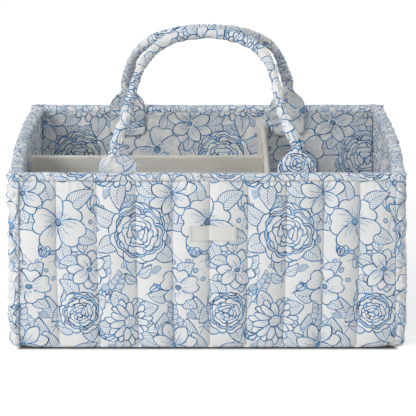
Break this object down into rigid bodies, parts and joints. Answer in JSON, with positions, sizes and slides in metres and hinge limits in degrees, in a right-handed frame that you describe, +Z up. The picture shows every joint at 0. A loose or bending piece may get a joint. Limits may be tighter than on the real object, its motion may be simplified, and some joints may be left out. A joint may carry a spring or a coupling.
{
  "type": "diaper caddy",
  "caption": "Open-topped quilted fabric caddy with board-stiffened walls, rope-core handles that swing over the rim and a lift-out T-shaped divider.",
  "frame": {"origin": "centre of the bounding box's bottom face, on the surface that the caddy stands on", "axes": "+X along the length to the right as seen from the labelled front, +Y from the front to the back, +Z up"},
  "size_m": [0.3956, 0.256, 0.2971],
  "materials": {
    "print_cloth": "quilted off-white cotton with a blue line print",
    "lining_cloth": "crinkled off-white cotton with a blue line print",
    "plain_cloth": "plain off-white cotton",
    "board": "plain stiffening board",
    "rope": "cotton rope",
    "tape": "woven tape"
  },
  "bodies": {
    "caddy": {"front_panel": "print_cloth", "back_panel": "print_cloth", "left_panel": "print_cloth", "right_panel": "print_cloth", "bottom_panel": "print_cloth", "front_stiffener": "board", "back_stiffener": "board", "left_stiffener": "board", "right_stiffener": "board", "base_board": "board", "front_lining": "lining_cloth", "back_lining": "lining_cloth", "left_lining": "lining_cloth", "right_lining": "lining_cloth", "bottom_lining": "lining_cloth", "front_hem": "print_cloth", "back_hem": "print_cloth", "left_hem": "print_cloth", "right_hem": "print_cloth", "front_left_tab": "print_cloth", "front_right_tab": "print_cloth", "back_left_tab": "print_cloth", "back_right_tab": "print_cloth", "front_loop_strip": "tape", "back_loop_strip": "tape", "side_loop_strip": "tape", "blank_label": "tape"},
    "front_handle": {"front_handle_sleeve": "print_cloth", "front_handle_core": "rope"},
    "back_handle": {"back_handle_sleeve": "print_cloth", "back_handle_core": "rope"},
    "divider_insert": {"cross_divider_cover": "plain_cloth", "cross_divider_board": "board", "long_divider_cover": "plain_cloth", "long_divider_board": "board", "front_hook_strip": "tape", "back_hook_strip": "tape", "side_hook_strip": "tape"}
  },
  "joints": [
    {"name": "front_handle_swing", "type": "hinge", "parent": "caddy", "child": "front_handle", "pos_m": [0, -0.1189, 0.20165], "axis": [1, 0, 0], "range_deg": [0, 175]},
    {"name": "back_handle_swing", "type": "hinge", "parent": "caddy", "child": "back_handle", "pos_m": [0, 0.1189, 0.20165], "axis": [-1, 0, 0], "range_deg": [0, 175]},
    {"name": "divider_lift", "type": "slide", "parent": "caddy", "child": "divider_insert", "axis": [0, 0, 1], "range_m": [0, 0.09]}
  ]
}
